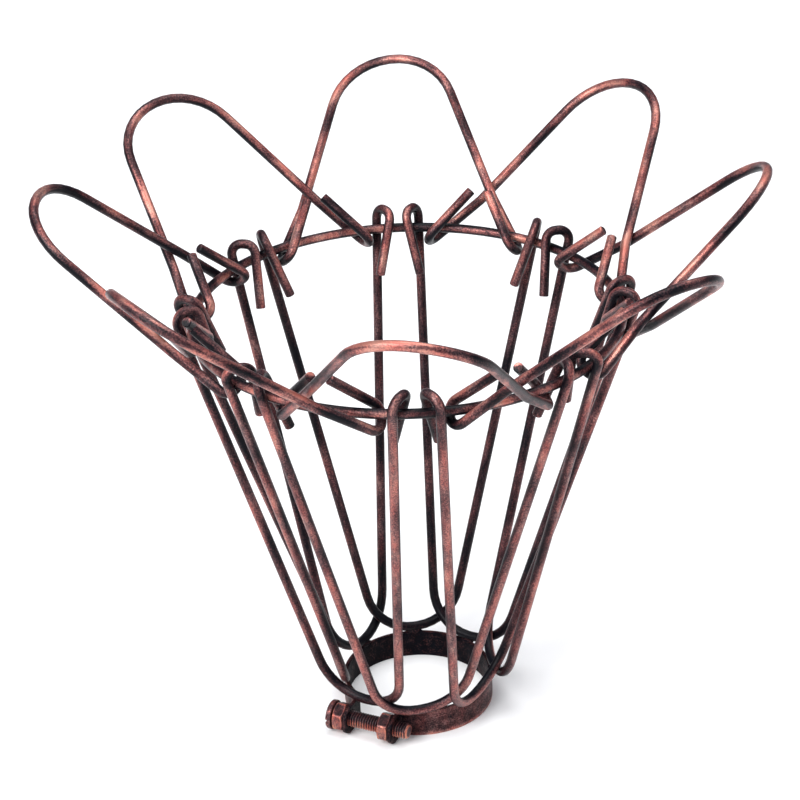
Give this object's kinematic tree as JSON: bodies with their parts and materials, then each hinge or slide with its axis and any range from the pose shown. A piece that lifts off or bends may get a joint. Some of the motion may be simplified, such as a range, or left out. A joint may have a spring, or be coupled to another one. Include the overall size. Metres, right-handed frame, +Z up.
{
  "type": "bulb cage guard",
  "caption": "Flared wire guard for a light bulb: interlaced side wires hooked on a ring, hinged petal loops above it, and a split collar with a clamp screw.",
  "frame": {"origin": "on the collar's axis, at the collar's lower edge", "axes": "+Z up along the collar's axis towards the petals; +Y towards the first station, at the back in the picture; +X to the right in the picture"},
  "size_m": [0.2028, 0.2028, 0.1668],
  "materials": {
    "copper_wire": "antique copper, brushed satin",
    "copper_band": "antique copper, brushed satin",
    "copper_fasteners": "antique copper, rubbed bright"
  },
  "bodies": {
    "cage": {"collar_band": "copper_band", "top_ring": "copper_wire", "side_wire_1": "copper_wire", "side_wire_2": "copper_wire", "side_wire_3": "copper_wire", "side_wire_4": "copper_wire", "side_wire_5": "copper_wire", "side_wire_6": "copper_wire", "side_wire_7": "copper_wire", "side_wire_8": "copper_wire"},
    "petal_1": {"petal_1": "copper_wire"},
    "petal_2": {"petal_2": "copper_wire"},
    "petal_3": {"petal_3": "copper_wire"},
    "petal_4": {"petal_4": "copper_wire"},
    "petal_5": {"petal_5": "copper_wire"},
    "petal_6": {"petal_6": "copper_wire"},
    "petal_7": {"petal_7": "copper_wire"},
    "petal_8": {"petal_8": "copper_wire"},
    "clamp_screw": {"clamp_screw": "copper_fasteners", "head_nut": "copper_fasteners"},
    "clamp_nut": {"clamp_nut": "copper_fasteners"}
  },
  "joints": [
    {"name": "petal_1_hinge", "type": "hinge", "parent": "cage", "child": "petal_1", "pos_m": [0, 0.05032, 0.1265], "axis": [-1, 0, 0], "range_deg": [-75, 12]},
    {"name": "petal_2_hinge", "type": "hinge", "parent": "cage", "child": "petal_2", "pos_m": [0.03558, 0.03558, 0.1265], "axis": [-0.7071, 0.7071, 0], "range_deg": [-75, 12]},
    {"name": "petal_3_hinge", "type": "hinge", "parent": "cage", "child": "petal_3", "pos_m": [0.05032, 0, 0.1265], "axis": [0, 1, 0], "range_deg": [-75, 12]},
    {"name": "petal_4_hinge", "type": "hinge", "parent": "cage", "child": "petal_4", "pos_m": [0.03558, -0.03558, 0.1265], "axis": [0.7071, 0.7071, 0], "range_deg": [-75, 12]},
    {"name": "petal_5_hinge", "type": "hinge", "parent": "cage", "child": "petal_5", "pos_m": [0, -0.05032, 0.1265], "axis": [1, 0, 0], "range_deg": [-75, 12]},
    {"name": "petal_6_hinge", "type": "hinge", "parent": "cage", "child": "petal_6", "pos_m": [-0.03558, -0.03558, 0.1265], "axis": [0.7071, -0.7071, 0], "range_deg": [-75, 12]},
    {"name": "petal_7_hinge", "type": "hinge", "parent": "cage", "child": "petal_7", "pos_m": [-0.05032, 0, 0.1265], "axis": [0, -1, 0], "range_deg": [-75, 12]},
    {"name": "petal_8_hinge", "type": "hinge", "parent": "cage", "child": "petal_8", "pos_m": [-0.03558, 0.03558, 0.1265], "axis": [-0.7071, -0.7071, 0], "range_deg": [-75, 12]},
    {"name": "clamp_screw_turn", "type": "hinge", "parent": "cage", "child": "clamp_screw", "pos_m": [-0.01142, -0.02291, 0.0046], "axis": [0.8949, -0.4462, 0], "range_deg": [0, 3151]},
    {"name": "clamp_nut_travel", "type": "slide", "parent": "cage", "child": "clamp_nut", "axis": [-0.8949, 0.4462, 0], "range_m": [0, 0.007]}
  ],
  "couplings": [
    {"joint": "petal_2_hinge", "follows": "petal_1_hinge", "ratio": 1},
    {"joint": "petal_3_hinge", "follows": "petal_1_hinge", "ratio": 1},
    {"joint": "petal_4_hinge", "follows": "petal_1_hinge", "ratio": 1},
    {"joint": "petal_5_hinge", "follows": "petal_1_hinge", "ratio": 1},
    {"joint": "petal_6_hinge", "follows": "petal_1_hinge", "ratio": 1},
    {"joint": "petal_7_hinge", "follows": "petal_1_hinge", "ratio": 1},
    {"joint": "petal_8_hinge", "follows": "petal_1_hinge", "ratio": 1},
    {"joint": "clamp_screw_turn", "follows": "clamp_nut_travel", "rad_per_m": 7854}
  ]
}
